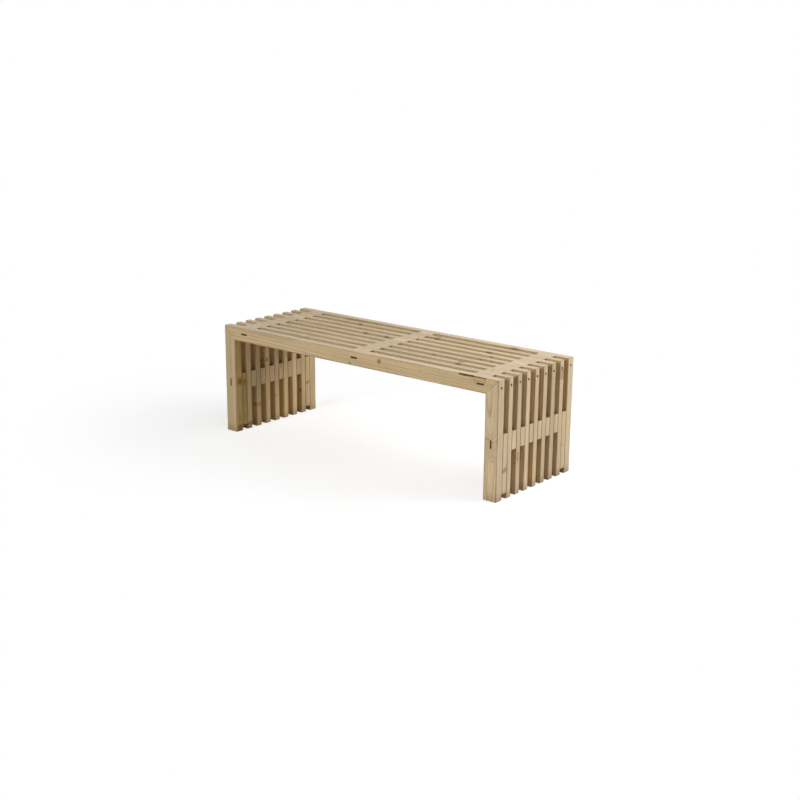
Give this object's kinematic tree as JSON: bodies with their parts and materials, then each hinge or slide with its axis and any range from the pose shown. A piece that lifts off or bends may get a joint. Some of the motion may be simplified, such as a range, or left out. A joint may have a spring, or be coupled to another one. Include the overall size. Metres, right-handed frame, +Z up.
{
  "type": "slatted bench",
  "caption": "Rustic backless garden bench of pale softwood: parallel mitred frames of seat and leg boards, held apart by spacer blocks and fixed with staples and nails.",
  "frame": {"origin": "on the floor, at the centre of the bench's footprint", "axes": "+X along the bench to the right end, -Y towards the front, +Z up"},
  "size_m": [1.38, 0.477, 0.448],
  "materials": {
    "board_wood": "planed pale softwood, unvarnished, with knots",
    "spacer_wood": "sawn and planed offcuts of the same pale softwood",
    "fastener_steel": "dull steel wire, darkened in the wood"
  },
  "bodies": {
    "root": {"corner_nails": "fastener_steel", "leg_board_left_1": "board_wood", "leg_board_left_2": "board_wood", "leg_board_left_3": "board_wood", "leg_board_left_4": "board_wood", "leg_board_left_5": "board_wood", "leg_board_left_6": "board_wood", "leg_board_left_7": "board_wood", "leg_board_left_8": "board_wood", "leg_board_left_9": "board_wood", "leg_board_right_1": "board_wood", "leg_board_right_2": "board_wood", "leg_board_right_3": "board_wood", "leg_board_right_4": "board_wood", "leg_board_right_5": "board_wood", "leg_board_right_6": "board_wood", "leg_board_right_7": "board_wood", "leg_board_right_8": "board_wood", "leg_board_right_9": "board_wood", "leg_filler_left_back": "spacer_wood", "leg_filler_left_front": "spacer_wood", "leg_filler_right_back": "spacer_wood", "leg_filler_right_front": "spacer_wood", "leg_spacers_left": "spacer_wood", "leg_spacers_right": "spacer_wood", "leg_staples": "fastener_steel", "seat_board_1": "board_wood", "seat_board_2": "board_wood", "seat_board_3": "board_wood", "seat_board_4": "board_wood", "seat_board_5": "board_wood", "seat_board_6": "board_wood", "seat_board_7": "board_wood", "seat_board_8": "board_wood", "seat_board_9": "board_wood", "seat_spacer_centre_1": "spacer_wood", "seat_spacer_centre_2": "spacer_wood", "seat_spacer_centre_3": "spacer_wood", "seat_spacer_centre_4": "spacer_wood", "seat_spacer_centre_5": "spacer_wood", "seat_spacer_centre_6": "spacer_wood", "seat_spacer_centre_7": "spacer_wood", "seat_spacer_centre_8": "spacer_wood", "seat_spacer_left_1": "spacer_wood", "seat_spacer_left_2": "spacer_wood", "seat_spacer_left_3": "spacer_wood", "seat_spacer_left_4": "spacer_wood", "seat_spacer_left_5": "spacer_wood", "seat_spacer_left_6": "spacer_wood", "seat_spacer_left_7": "spacer_wood", "seat_spacer_left_8": "spacer_wood", "seat_spacer_right_1": "spacer_wood", "seat_spacer_right_2": "spacer_wood", "seat_spacer_right_3": "spacer_wood", "seat_spacer_right_4": "spacer_wood", "seat_spacer_right_5": "spacer_wood", "seat_spacer_right_6": "spacer_wood", "seat_spacer_right_7": "spacer_wood", "seat_spacer_right_8": "spacer_wood", "seat_staples": "fastener_steel"}
  },
  "joints": []
}
